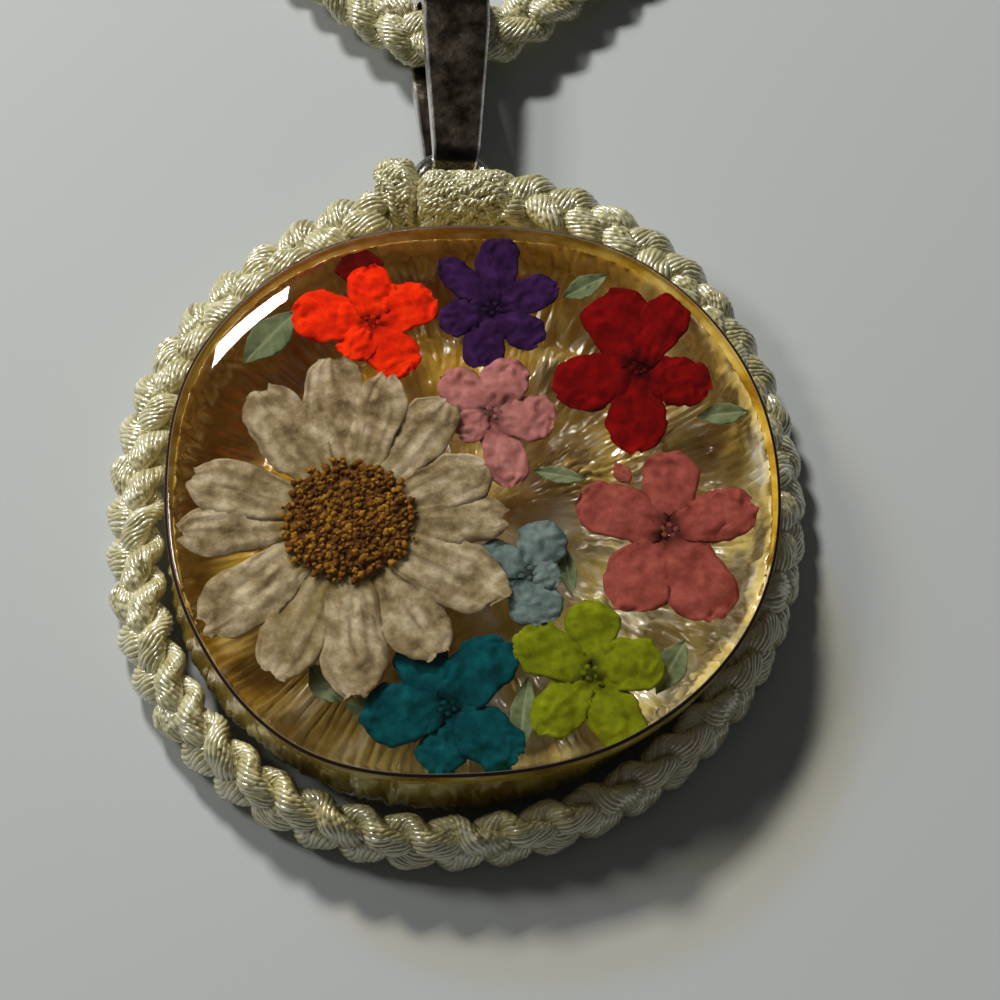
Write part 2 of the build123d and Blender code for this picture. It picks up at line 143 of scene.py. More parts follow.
def colourRamp(tree, factor, stops):
    ramp = addNode(tree, "ShaderNodeValToRGB", {"Fac": factor})
    while len(ramp.color_ramp.elements) < len(stops):
        ramp.color_ramp.elements.new(0.5)
    for element, (place, colour) in zip(ramp.color_ramp.elements, stops):
        element.position = place
        element.color = (*colour, 1)
    return ramp.outputs["Color"]


def mixColour(tree, factor, one, two, blend="MIX"):
    node = tree.nodes.new("ShaderNodeMix")
    node.data_type = "RGBA"
    node.blend_type = blend
    for key, value in ((0, factor), (6, one), (7, two)):
        if isinstance(value, bpy.types.NodeSocket):
            tree.links.new(value, node.inputs[key])
        else:
            node.inputs[key].default_value = value if key == 0 else (*value, 1)
    return node.outputs[2]


def addBump(shader, height, distance, strength):
    inputs = {"Height": height, "Distance": distance * mm, "Strength": strength}
    plug(addNode(shader.id_data, "ShaderNodeBump", inputs).outputs[0], shader, "Normal")


def dress(piece, mat, slotName, *replaced):
    piece.data.materials.clear()
    piece.data.materials.append(mat)
    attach(piece, "root")
    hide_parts(*replaced)


# Camera at the photograph's angle, image 1000 x 1000
cameraSet = {"target": (1.7, -1.04, 8.0), "distance": 137.0, "elevation": 63.0, "lens": 85.0,
             "sensor": 36.0, "near": 0.01}


def placeCamera():
    data = bpy.data.cameras.new("camera")
    data.lens = cameraSet["lens"]
    data.sensor_width = cameraSet["sensor"]
    data.clip_start = cameraSet["near"]
    rise = math.radians(cameraSet["elevation"])
    away = Vector((0, -math.cos(rise), math.sin(rise)))
    scene.camera = addObject("camera", data)
    scene.camera.location = (Vector(cameraSet["target"]) + away * cameraSet["distance"]) * mm
    scene.camera.rotation_euler = away.to_track_quat("Z", "Y").to_euler()


placeCamera()

# Braid, the same lay for the border and the neck cord
braid = {"width": 4.3, "borderWidth": 3.8, "thickness": 2.6, "pitch": 8.1, "strandWidth": 2.0,
         "strandThickness": 1.25, "flatness": 0.2, "threads": 13, "threadRadius": 0.20, "threadInset": 0.6,
         "twist": 4.2, "tuck": 0.1, "hidden": 0.3, "routeSteps": 1500, "borderSteps": 1400, "neckSteps": 3600,
         # step along a thread's tube, and its sides
         "borderTube": (0.24, 6), "neckTube": (0.44, 5)}


def threadTree():
    # copies of a line, turning round it on an oval, each made into a tube
    tree = bpy.data.node_groups.new("strandThreads", "GeometryNodeTree")
    kinds = {"Geometry": "Geometry", "Threads": "Int", "Sides": "Int", "Half Width": "Float",
             "Half Height": "Float", "Thread Radius": "Float", "Twist": "Float", "Step": "Float",
             "Material": "Material"}
    for name, kind in kinds.items():
        tree.interface.new_socket(name, in_out="INPUT", socket_type="NodeSocket" + kind)
    tree.interface.new_socket("Geometry", in_out="OUTPUT", socket_type="NodeSocketGeometry")
    given = addNode(tree, "NodeGroupInput").outputs

    def geo(kind, inputs=None, **settings):
        return addNode(tree, "GeometryNode" + kind, inputs, **settings).outputs

    def vec(op, *values, **named):
        return addNode(tree, "ShaderNodeVectorMath", dict(enumerate(values)) | named, operation=op).outputs[0]

    line = geo("MeshToCurve", {"Mesh": given["Geometry"]})[0]
    line = geo("ResampleCurve", {"Curve": line, "Length": given["Step"]}, mode="LENGTH")[0]
    place = geo("SplineParameter")["Length"]
    facing = geo("InputNamedAttribute", {"Name": "facing"}, data_type="FLOAT_VECTOR")[0]
    copies = geo("DuplicateElements", {"Geometry": line, "Amount": given["Threads"]}, domain="SPLINE")
    index = geo("FieldOnDomain", {0: copies["Duplicate Index"]}, domain="POINT", data_type="FLOAT")[0]
    along = geo("InputTangent")[0]
    wide = vec("NORMALIZE", vec("CROSS_PRODUCT", along, facing))
    thin = vec("CROSS_PRODUCT", wide, along)
    share = calc(tree, "DIVIDE", index, given["Threads"])
    turn = calc(tree, "ADD", share, calc(tree, "DIVIDE", place, given["Twist"]))
    turn = calc(tree, "MULTIPLY", turn, 2 * math.pi)
    aside = calc(tree, "MULTIPLY", calc(tree, "COSINE", turn), given["Half Width"])
    above = calc(tree, "MULTIPLY", calc(tree, "SINE", turn), given["Half Height"])
    offset = vec("ADD", vec("SCALE", wide, Scale=aside), vec("SCALE", thin, Scale=above))
    kept = copies["Geometry"]
    for name, value in (("threadShare", share), ("threadPlace", place)):
        kept = geo("StoreNamedAttribute", {"Geometry": kept, "Name": name, "Value": value},
                   domain="POINT", data_type="FLOAT")[0]
    moved = geo("SetPosition", {"Geometry": kept, "Offset": offset})[0]
    ring = geo("CurvePrimitiveCircle", {"Resolution": given["Sides"], "Radius": given["Thread Radius"]})[0]
    tube = geo("CurveToMesh", {"Curve": moved, "Profile Curve": ring, "Fill Caps": True})[0]
    tube = geo("SetShadeSmooth", {"Geometry": tube})[0]
    solid = geo("RealizeInstances", {"Geometry": tube})[0]
    done = geo("SetMaterial", {"Geometry": solid, "Material": given["Material"]})[0]
    addNode(tree, "NodeGroupOutput", {0: done})
    return tree


strandThreads = threadTree()


def threadsAlong(name, middles, facings, threads, sides, sizes):
    # points and sizes in millimetres
    mesh = bpy.data.meshes.new(name + "Line")
    mesh.from_pydata([tuple(p * mm) for p in middles], [(i, i + 1) for i in range(len(middles) - 1)], [])
    facing = mesh.attributes.new("facing", "FLOAT_VECTOR", "POINT")
    facing.data.foreach_set("vector", [c for f in facings for c in f])
    line = addObject(name + "Line", mesh)
    modifier = line.modifiers.new("threads", "NODES")
    modifier.node_group = strandThreads
    wanted = {"Material": goldCord, "Threads": threads, "Sides": sides}
    wanted.update({key: size * mm for key, size in sizes.items()})
    for item in strandThreads.interface.items_tree:
        if item.in_out == "INPUT" and item.name in wanted:
            modifier[item.identifier] = wanted[item.name]
    piece = addObject(name, evaluatedMesh(line))
    piece.data.name = name
    bpy.data.objects.remove(line)
    return piece


def cordMaterial(name, dark, mid, light):
    mat, tree, shader = newMaterial(name, Roughness=0.34, Specular_IOR_Level=0.7, Coat_Weight=1.0,
                                    Coat_Roughness=0.08, Coat_IOR=2.5)
    where = addNode(tree, "ShaderNodeCombineXYZ", {0: layerValue(tree, "threadShare"),
                                                   1: layerValue(tree, "threadPlace")}).outputs[0]
    tone = addNode(tree, "ShaderNodeTexNoise", {"Vector": where, "Scale": 420.0, "Detail": 3.0})
    colour = colourRamp(tree, tone.outputs["Fac"], [(0.30, dark), (0.5, mid), (0.72, light)])
    tinted = mixColour(tree, objectNoise(tree, 160.0, 2.0), (0.80, 0.74, 0.56), (1.0, 1.0, 1.0))
    paint(shader, mixColour(tree, 0.9, colour, tinted, "MULTIPLY"))
    inputs = {"Vector": where, "Scale": 900.0, "Distortion": 9.0, "Detail": 3.0}
    fibres = addNode(tree, "ShaderNodeTexWave", inputs, wave_type="BANDS", bands_direction="Y").outputs["Fac"]
    addBump(shader, calc(tree, "ADD", fibres, objectNoise(tree, 3600.0, 2.0, 0.5)), 0.08, 0.7)
    return mat


goldCord = cordMaterial("paleGoldThread", (0.36, 0.30, 0.10), (0.78, 0.73, 0.40), (0.96, 0.94, 0.76))

# Border route, the same table as the part's source
waistRadius = 17.15
borderRows = [
    # out from the waist, height, size, tilt; every 30 degrees clockwise from the bail
    (5.05, 4.90, 1.18, 5), (4.22, 3.90, 1.05, 12), (2.56, 2.60, 0.95, 30), (1.55, 1.92, 0.90, 60),
    (1.30, 1.97, 0.90, 72), (1.80, 2.07, 0.95, 80), (2.65, 2.12, 1.00, 80), (3.35, 2.12, 1.05, 72),
    (3.40, 2.07, 1.10, 55), (3.20, 1.92, 1.10, 42), (4.30, 2.50, 1.05, 28), (4.40, 4.00, 1.10, 14)]
wrapSet = {"left": -6.3, "right": 2.7, "middle": waistRadius + borderRows[0][0], "width": 4.8, "height": 6.2,
           "knotWidth": 6.0, "knotHeight": 5.8, "knotShift": 0.7, "dip": -3.55, "dipDepth": 0.40}


def eased(rows, angle):
    # a table's row at an angle, eased between rows at even steps round the circle
    step = 360 / len(rows)
    index = int(angle % 360 // step)
    share = angle % 360 / step - index
    before, first, last, after = [rows[(index + k) % len(rows)] for k in (-1, 0, 1, 2)]
    return [f + 0.5 * share * (l - b + share * (2 * b - 5 * f + 4 * l - a
                                                + share * (3 * f - b - 3 * l + a)))
            for b, f, l, a in zip(before, first, last, after)]


def borderFrame(clock):
    out, height, size, tilt = eased(borderRows, clock)
    turn = math.radians(clock)
    lean = math.radians(tilt)
    outward = Vector((math.sin(turn), math.cos(turn), 0))
    upward = Vector((0, 0, 1))
    middle = outward * (waistRadius + out) + upward * height
    across = outward * math.cos(lean) - upward * math.sin(lean)
    facing = outward * math.sin(lean) + upward * math.cos(lean)
    return middle, across, facing, size


def runningLengths(spots):
    steps = [(b - a).length for a, b in zip(spots, spots[1:])]
    return np.concatenate([[0.0], np.cumsum(steps)])


def strandLine(frames, length, lag, sway, dip):
    sweep = 2 * math.pi * length / braid["pitch"]
    middles = []
    for index, (middle, across, facing, size) in enumerate(frames):
        phase = sweep * index / (len(frames) - 1) + lag
        rise = math.sin(2 * phase) + braid["flatness"] * math.sin(6 * phase)
        middles.append(middle + across * (sway * size * math.sin(phase)) + facing * (dip * rise))
    return middles


def makeBraid(name, frames, length, width, step, sides):
    pieces = []
    sway = (width - braid["strandWidth"]) / 2
    dip = (braid["thickness"] - braid["strandThickness"]) / 2 - braid["tuck"]
    radius = braid["threadRadius"]
    inset = radius * braid["threadInset"]
    sizes = {"Half Width": braid["strandWidth"] / 2 - inset, "Thread Radius": radius, "Step": step,
             "Half Height": braid["strandThickness"] / 2 - inset}
    facings = [row[2] for row in frames]
    for number, letter in enumerate("ABC"):
        middles = strandLine(frames, length, 2 * math.pi * number / 3, sway, dip)
        sizes["Twist"] = braid["twist"] * (1, -1, 1)[number]
        pieces.append(threadsAlong(name + letter, middles, facings, braid["threads"], sides, sizes))
    return pieces


def borderBraid():
    end = waistRadius + borderRows[0][0]
    first = math.degrees(math.asin((wrapSet["right"] - braid["hidden"]) / end))
    last = 360 + math.degrees(math.asin((wrapSet["left"] + braid["hidden"]) / end))
    fine = braid["routeSteps"]
    clocks = [first + (last - first) * i / fine for i in range(fine + 1)]
    lengths = runningLengths([borderFrame(c)[0] for c in clocks])
    even = np.interp(np.linspace(0, lengths[-1], braid["borderSteps"]), lengths, clocks)
    frames = [borderFrame(c) for c in even]
    pieces = makeBraid("borderStrand", frames, lengths[-1], braid["borderWidth"], *braid["borderTube"])
    for piece, letter in zip(pieces, "abc"):
        dress(piece, goldCord, "border_cord", "border_strand_" + letter)


borderBraid()
print("border braided")

# Neck cord: the source's route points as the control points of one smooth spline
ringX = -1.45
ringOut = 6.95
bailReach = 12.3
neckLift = 0.05
neckY = waistRadius + ringOut + bailReach
neckHeight = braid["thickness"] / 2 + neckLift
neckPoints = [(-7.0, 167.5, 0.78), (-19.8, 167.5, 0.78), (-33.4, 160.8, 0.0), (-43.8, 146.2, 0.0),
              (-52.9, 123.2, 0.0), (-54.2, 94.8, 0.0), (-48.0, 66.4, 0.0), (-36.2, 40.6, 0.0),
              (-20.0, 18.7, 0.0), (-8.9, 6.4, 0.30), (-2.4, 0.0, 0.80), (2.4, 0.0, 0.80),
              (8.8, 6.2, 0.30), (20.3, 18.2, 0.0), (37.0, 39.6, 0.0), (49.5, 65.1, 0.0),
              (56.5, 93.6, 0.0), (55.5, 122.1, 0.0), (46.0, 145.6, 0.0), (35.0, 160.6, 0.0),
              (20.5, 167.5, 0.78), (7.0, 167.5, 0.78)]


def routeLine(points):
    curve = bpy.data.curves.new("neckRoute", "CURVE")
    curve.dimensions = "3D"
    curve.resolution_u = 24
    spline = curve.splines.new("NURBS")
    spline.points.add(len(points) - 1)
    for spot, (x, y, lift) in zip(spline.points, points):
        spot.co = ((ringX + x) * mm, (neckY + y) * mm, (neckHeight + lift) * mm, 1)
    spline.order_u = 3
    spline.use_endpoint_u = True
    route = addObject("neckRoute", curve)
    spots = [v.co.copy() / mm for v in evaluatedMesh(route).vertices]
    bpy.data.objects.remove(route)
    return spots


def neckBraid():
    spots = routeLine(neckPoints)
    lengths = runningLengths(spots)
    places = np.linspace(0, lengths[-1], braid["neckSteps"])
    xyz = np.array([list(s) for s in spots])
    even = [Vector(p) for p in zip(*[np.interp(places, lengths, xyz[:, k]) for k in range(3)])]
    frames = []
    for index, spot in enumerate(even):
        along = (even[min(index + 3, len(even) - 1)] - even[max(index - 3, 0)]).normalized()
        across = along.cross(Vector((0, 0, 1))).normalized()
        frames.append((spot, across, across.cross(along), 1.0))
    for piece in makeBraid("neckStrand", frames, lengths[-1], braid["width"], *braid["neckTube"]):
        dress(piece, goldCord, "neck_cord", "neck_cord")


neckBraid()
print("neck cord braided")

# Floor and light
floorSet = {"half": 1200, "colour": (0.575, 0.60, 0.59)}
roomSet = {"colour": (0.80, 0.83, 0.88, 1), "strength": 0.055}
lightSet = {"colour": (1.0, 0.99, 0.97), "window": ((-0.247, 0.494, 0.437), 3.65, 0.115, 0.075),
            "side": ((-0.52, 0.22, 0.45), 1.5, 0.16)}


def makeFloor():
    h = floorSet["half"]
    floor = newPiece("floor", [(-h, -h, 0), (h, -h, 0), (h, h, 0), (-h, h, 0)], [(0, 1, 2, 3)], False)
    mat, tree, shader = newMaterial("paleFloor", Roughness=0.62)
    one = tuple(c * 0.97 for c in floorSet["colour"])
    paint(shader, colourRamp(tree, objectNoise(tree, 9.0), [(0.3, one), (0.7, floorSet["colour"])]))
    floor.data.materials.append(mat)


def areaLight(name, place, power, size, sizeY=None):
    # aimed at the origin; metres and watts
    data = bpy.data.lights.new(name, "AREA")
    data.energy = power
    data.color = lightSet["colour"]
    data.size = size
    if sizeY:
        data.shape = "RECTANGLE"
        data.size_y = sizeY
    lamp = addObject(name, data)
    lamp.location = place
    lamp.rotation_euler = Vector(place).to_track_quat("Z", "Y").to_euler()


makeFloor()
world = bpy.data.worlds.new("softRoom")
world.use_nodes = True
for index, name in enumerate(("colour", "strength")):
    world.node_tree.nodes["Background"].inputs[index].default_value = roomSet[name]
scene.world = world
areaLight("windowLight", *lightSet["window"])
areaLight("sideLight", *lightSet["side"])
scene.view_settings.view_transform = "Standard"
print("floor and light set")

# Clear resin disc, one closed lens shape with the flowers inside it
resinSet = {"rim": 18.0, "rimHeight": 8.0, "domeRise": 0.45, "domeEdge": 3.6, "domeSteps": 24,
            "waistHeight": 3.2, "baseRadius": 13.3, "satinTopRadius": 17.55, "satinTop": 6.1, "wall": 0.6,
            # share of the satin's wall that the resin soaks into, so that no air shows between them
            "soak": 0.55, "around": 216, "rimShadeWidth": 0.22, "gluedRings": 3,
            # drop below the rim, inset from it, and the shares of painted dark edge line (painted shade for
            # the dark refraction at the rim) and of glued satin
            "lip": [(-0.005, 0.17, 1.0, 0.0), (0.02, 0.03, 1.0, 0.0), (0.07, 0.0, 1.0, 0.0),
                    (0.13, 0.015, 0.0, 1.0), (1.0, 0.14, 0.0, 1.0), (1.75, 0.24, 0.0, 1.0)]}

# how far the rim and the waist stand out from their radii, every 30 degrees counterclockwise from +X
edgeRows = [(0.05, -0.05), (0.35, 0.40), (0.65, 0.75), (0.0, 0.85), (0.90, 0.95), (0.80, 1.35),
            (-0.15, 1.10), (0.20, 1.60), (0.90, 1.70), (0.05, 1.05), (0.20, 0.20), (0.30, -0.30)]


def rimSwell(turn):
    return eased(edgeRows, math.degrees(turn))[0]


def cupSpot(turn, radius, height):
    # a point of the cup: its waist and its top edge each follow their own uneven outline
    low, base = resinSet["waistHeight"], resinSet["baseRadius"]
    lean = clamp((height - low) / (resinSet["satinTop"] - low))
    rim, waist = eased(edgeRows, math.degrees(turn))
    bulge = clamp((radius - base) / (waistRadius - base))
    return ringSpot(turn, radius + lean * rim + (1 - lean) * bulge * waist, height)


def cupRing(radius, height, around):
    return [cupSpot(turn, radius, height) for turn in turns(around)]


def cupProfile(inset, floor):
    # quarter bend from the flat base out to the waist, then up to the satin's top
    waist, base = waistRadius - inset, resinSet["baseRadius"] - inset
    low, top = resinSet["waistHeight"], resinSet["satinTop"]
    spots = []
    for k in range(13):
        a = math.pi / 2 * k / 12
        spots.append((base + (waist - base) * math.sin(a), floor + (low - floor) * (1 - math.cos(a))))
    for k in range(1, 7):
        s = k / 6
        edge = resinSet["satinTopRadius"] - inset * (1 - 0.75 * s ** 3)
        spots.append((waist + (edge - waist) * s, low + (top - low) * s))
    return spots


def latheRings(rings, around):
    # rings from the top pole down to the bottom pole; each ring a list of points, a pole a single point
    points = []
    starts = []
    for ring in rings:
        starts.append(len(points))
        points.extend(ring)
    faces = []
    for i in range(len(rings) - 1):
        a, b, na, nb = starts[i], starts[i + 1], len(rings[i]), len(rings[i + 1])
        for k in range(around):
            j = (k + 1) % around
            corners = (a + k % na, b + k % nb, b + j % nb, a + j % na)
            faces.append(tuple(dict.fromkeys(corners)))
    return points, faces


def domeHeight(radius):
    # height of the face at a radius: flat, then an arc down through the rim
    edge, rise = resinSet["domeEdge"], resinSet["domeRise"]
    bend = (edge ** 2 + rise ** 2) / (2 * rise)
    past = max(0.0, radius - (resinSet["rim"] - edge))
    return resinSet["rimHeight"] + rise - bend + math.sqrt(bend ** 2 - past ** 2)


def makeResin():
    around, rim = resinSet["around"], resinSet["rim"]
    flat = rim - resinSet["domeEdge"]
    rings, marks = [[(0, 0, domeHeight(0))]], [(0.0, 0.0)]

    def addRing(ring, line=0.0, glued=0.0):
        rings.append(ring)
        marks.append((line, glued))

    for share in (0.25, 0.5, 0.75, 1.0):
        addRing([ringSpot(a, flat * share, domeHeight(0)) for a in turns(around)])
    steps = resinSet["domeSteps"]
    past = resinSet["domeEdge"] - resinSet["rimShadeWidth"]
    for k in range(1, steps + 1):
        reaches = [(a, flat + (past + rimSwell(a)) * k / steps) for a in turns(around)]
        addRing([ringSpot(a, reach, domeHeight(reach)) for a, reach in reaches])
    for drop, inset, line, glued in resinSet["lip"]:
        edges = [(a, rim + rimSwell(a)) for a in turns(around)]
        addRing([ringSpot(a, edge - inset, domeHeight(edge) - drop) for a, edge in edges], line, glued)
    soak = resinSet["wall"] * resinSet["soak"]
    for index, (radius, height) in enumerate(reversed(cupProfile(soak, soak))):
        addRing(cupRing(radius, height, around), 0.0, float(index < resinSet["gluedRings"]))
    for share in (0.75, 0.5, 0.25):
        addRing(cupRing((resinSet["baseRadius"] - soak) * share, soak, around))
    addRing([(0, 0, soak)])
    piece = newPiece("clearResin", *latheRings(rings, around))
    for index, name in enumerate(("edge", "glued")):
        floatLayer(piece, name, [mark[index] for ring, mark in zip(rings, marks) for _ in ring])
    dress(piece, resinMaterial(), "clear_resin", "resin_cabochon")


def resinMaterial():
    mat, tree, shader = newMaterial("clearResinCast", Roughness=0.02, IOR=1.5, Transmission_Weight=1.0)
    edge, glued = layerValue(tree, "edge"), layerValue(tree, "glued")
    clear = colourRamp(tree, objectNoise(tree, 55.0, 2.0),
                       [(0.3, (0.97, 0.94, 0.86)), (0.7, (1.0, 0.98, 0.93))])
    fabric = colourRamp(tree, objectNoise(tree, 420.0, 4.0),
                        [(0.32, (0.30, 0.15, 0.006)), (0.5, (0.60, 0.38, 0.03)), (0.7, (0.86, 0.68, 0.20))])
    # the dark edge line round the rim is painted shade, standing in for the dark refraction at the resin's
    # edge
    paint(shader, mixColour(tree, edge, mixColour(tree, glued, clear, fabric), (0.035, 0.014, 0.006)))
    solid = calc(tree, "ADD", edge, glued, use_clamp=True)
    plug(calc(tree, "SUBTRACT", 1.0, solid), shader, "Transmission Weight")
    # light falls through the resin on to the satin: clear to shadow rays
    through = addNode(tree, "ShaderNodeBsdfTransparent", {"Color": (0.96, 0.93, 0.85, 1)})
    path = addNode(tree, "ShaderNodeLightPath").outputs["Is Shadow Ray"]
    mix = addNode(tree, "ShaderNodeMixShader", {0: path, 1: shader.outputs[0], 2: through.outputs[0]})
    plug(mix.outputs[0], tree.nodes["Material Output"], "Surface")
    return mat


makeResin()
print("resin cast")

# Satin cup, gathered into fine radial pleats
satinSet = {"around": 720, "floorRings": 42, "crinkle": 0.26, "pleat": 0.30, "outside": 0.16,
            # creases of the floor and of the patches: scale, seed, weight
            "floorCreases": [(0.5, 3, 0.7), (1.2, 9, 0.5), (2.6, 15, 0.35)],
            "patchCreases": [(1.5, 21, 1.0), (3.6, 27, 0.8)],
            # patches of bright crinkled satin between the flowers: x, y, reach, height
            "patches": [(6.4, 9.6, 2.8, 1.5), (0.4, -16.2, 3.0, 1.3), (-10.2, -13.0, 3.4, 1.5),
                        (15.2, -1.5, 4.0, 1.5), (-12.4, 3.6, 1.9, 1.4), (-9.2, 4.0, 1.7, 1.4),
                        (7.4, -6.4, 2.2, 1.4), (6.2, 2.6, 2.8, 1.4), (12.4, -11.0, 3.2, 1.5),
                        (11.4, 3.4, 3.0, 1.5), (8.2, -1.4, 1.8, 1.2), (-1.6, 3.0, 1.6, 1.0),
                        (5.0, 13.2, 1.6, 1.0), (-4.2, -12.0, 1.8, 1.1)],
            # directions where the pleats stand out most, in degrees, with their spread and strength
            "gathers": [(-12, 26, 0.9), (-42, 16, 0.8), (-128, 22, 0.9), (-90, 14, 0.5)]}


def pleatWave(turn, spread, level):
    # ridges that run up the wall, a little uneven round the cup
    x, y = math.cos(turn), math.sin(turn)
    broad = ripple(x * 9, y * 9, level * 0.35 + spread)
    fine = ripple(x * 34, y * 34, level * 0.5 + spread + 7)
    finest = ripple(x * 70, y * 70, level * 0.9 + spread + 19)
    return broad * 0.55 + (abs(fine) * 2 - 0.35) * 0.8 + finest * 0.45


def gathered(turn):
    # how much deeper the pleats are at a direction
    extra = 1.0
    for direction, spread, strength in satinSet["gathers"]:
        off = (math.degrees(turn) - direction + 180) % 360 - 180
        extra += strength * math.exp(-(off / spread) ** 2)
    return extra


def creases(x, y, rows):
    return sum(weight * abs(ripple(x * scale, y * scale, seed)) for scale, seed, weight in rows)


def crinkle(x, y):
    # sharp creases of the satin's floor, deeper in the patches
    size = satinSet["crinkle"] * creases(x, y, satinSet["floorCreases"])
    for px, py, reach, height in satinSet["patches"]:
        near = max(0.0, 1 - math.hypot(x - px, y - py) / reach)
        if near:
            size += near * height * creases(x, y, satinSet["patchCreases"])
    return size


def makeSatin():
    around, wall, steps = satinSet["around"], resinSet["wall"], satinSet["floorRings"]
    base = resinSet["baseRadius"] - wall
    inner = cupProfile(wall, wall)
    rings = [[(0, 0, wall)]]
    for k in range(1, steps + 1):
        ring = []
        for a in turns(around):
            x, y = base * k / steps * math.cos(a), base * k / steps * math.sin(a)
            share = max(0.0, (k / steps - 0.55) / 0.45) ** 1.5
            stray = 0.07 * ripple(x * 0.7, y * 0.7, 33) + 0.03 * ripple(x * 2, y * 2, 35)
            pleat = satinSet["pleat"] * gathered(a) * share * pleatWave(a + stray, 0, base * k / steps)
            ring.append((x, y, wall + max(-0.2, crinkle(x, y) + pleat)))
        rings.append(ring)
    for index, (radius, height) in enumerate(inner):
        lift = max(0.0, 1 - index / 12)
        fade = 1.0 if index < len(inner) - 2 else 0.35
        ring = []
        for a in turns(around):
            depth = satinSet["pleat"] * (1 + (gathered(a) - 1) * 0.6)
            wave = depth * fade * pleatWave(a, 0, base + index * 0.35)
            x, y, _ = cupSpot(a, radius, height)
            wave += 0.6 * crinkle(x, y) * lift
            ring.append(cupSpot(a, radius - wave * (1 - lift * 0.7), height + wave * lift))
        rings.append(ring)
    inside = len(rings)
    for radius, height in reversed(cupProfile(0.05, 0.0)):
        ring = []
        for a in turns(around):
            wave = satinSet["outside"] * pleatWave(a, 40, height) * (0.4 if height < 0.4 else 1.0)
            ring.append(cupSpot(a, radius - 0.12 + min(0.12, wave), height))
        rings.append(ring)
    for share in (0.66, 0.33):
        rings.append(cupRing(resinSet["baseRadius"] * share, 0.0, around))
    rings.append([(0, 0, 0.0)])
    piece = newPiece("satinCup", *latheRings(rings, around))
    floatLayer(piece, "outside", [float(index >= inside) for index, ring in enumerate(rings) for _ in ring])
    dress(piece, satinMaterial(), "satin", "satin_backing")


def satinMaterial():
    mat, tree, shader = newMaterial("goldSatin", Roughness=0.24, Specular_IOR_Level=1.0, Coat_Weight=1.0,
                                    Coat_Roughness=0.13, Coat_IOR=2.2)
    colour = colourRamp(tree, objectNoise(tree, 300.0, 5.0, 0.65),
                        [(0.32, (0.40, 0.185, 0.006)), (0.5, (0.66, 0.37, 0.022)),
                         (0.68, (0.86, 0.60, 0.10))])
    # painted light and shade: brown where shade falls on the top and left of the cup, multiplied paler
    # towards the right and the bottom, where the light falls on the cup's wall
    axes = objectAxes(tree)
    side = calc(tree, "SUBTRACT", axes[0], axes[1])
    paintedLight = mixColour(tree, mapRange(tree, side, -0.009, 0.013), (1, 1, 1), (1.05, 1.55, 9.0))
    inner = mixColour(tree, 1.0, colour, paintedLight, "MULTIPLY")
    # outside of the cup: the same satin in a darker olive with upright mottling, partly painted shade for the
    # wall that faces away from the light
    shadedOuter = colourRamp(tree, objectNoise(tree, 480.0, 4.0, 0.5, (1, 1, 0.35)),
                       [(0.35, (0.20, 0.115, 0.006)), (0.55, (0.38, 0.26, 0.024)),
                        (0.75, (0.62, 0.50, 0.14))])
    paint(shader, mixColour(tree, layerValue(tree, "outside"), inner, shadedOuter))
    addBump(shader, objectNoise(tree, 2600.0, 2.0, 0.5), 0.03, 0.5)
    return mat


makeSatin()
print("satin gathered")

# Flowers

def driedMaterial(name, rough, shine, grain, stops, layers, wrinkle, bump):
    # a ramp over grain, each painted layer laid on it in turn, and a fine wrinkle
    mat, tree, shader = newMaterial(name, Roughness=rough, Specular_IOR_Level=shine)
    colour = colourRamp(tree, objectNoise(tree, *grain), stops)
    for layer, tint in layers.items():
        colour = mixColour(tree, layerValue(tree, layer), colour, tint)
    paint(shader, colour)
    addBump(shader, objectNoise(tree, *wrinkle), *bump)
    return mat


def petalMaterial(name, colour, deep, light):
    # dark: the colour of the painted shade in the flower's pit and where petals overlap
    dark = tuple(c * 0.08 for c in deep)
    return driedMaterial(name, 0.9, 0.04, (900.0, 5.0, 0.65), [(0.28, deep), (0.52, colour), (0.78, light)],
                         {"depth": dark}, (1260.0, 6.0, 0.7), (0.10, 0.8))


flowerSet = {"level": 6.35, "across": 17, "along": 25, "daisyLevel": 6.95, "leafLevel": 5.75, "rim": 18.0,
             "limit": 17.4, "tiers": (0.0, 0.13, 0.06), "longer": 1.05, "fuller": 1.12, "leafAlong": 27,
             "leafAcross": 13}
petalStyle = {"widest": 0.60, "root": 0.50, "blunt": 0.30, "notch": 0.0, "ridges": 0.0, "lift": 0.16,
              "crumple": 0.36}
petalShades = {
    "orange_flower": ((0.76, 0.022, 0.001), (0.52, 0.010, 0.001), (0.92, 0.050, 0.002)),
    "purple_flower": ((0.030, 0.008, 0.055), (0.012, 0.003, 0.022), (0.055, 0.018, 0.100)),
    "red_flower": ((0.155, 0.001, 0.001), (0.070, 0.0005, 0.0005), (0.27, 0.002, 0.002)),
    "pink_flower": ((0.37, 0.145, 0.140), (0.24, 0.080, 0.080), (0.50, 0.23, 0.22)),
    "coral_flower": ((0.26, 0.060, 0.048), (0.17, 0.032, 0.026), (0.36, 0.100, 0.080)),
    "blue_flower": ((0.125, 0.175, 0.180), (0.055, 0.090, 0.100), (0.21, 0.28, 0.29)),
    "teal_flower": ((0.001, 0.052, 0.066), (0.0005, 0.022, 0.032), (0.003, 0.085, 0.105)),
    "lime_flower": ((0.150, 0.180, 0.003), (0.075, 0.095, 0.002), (0.24, 0.27, 0.010)),
}
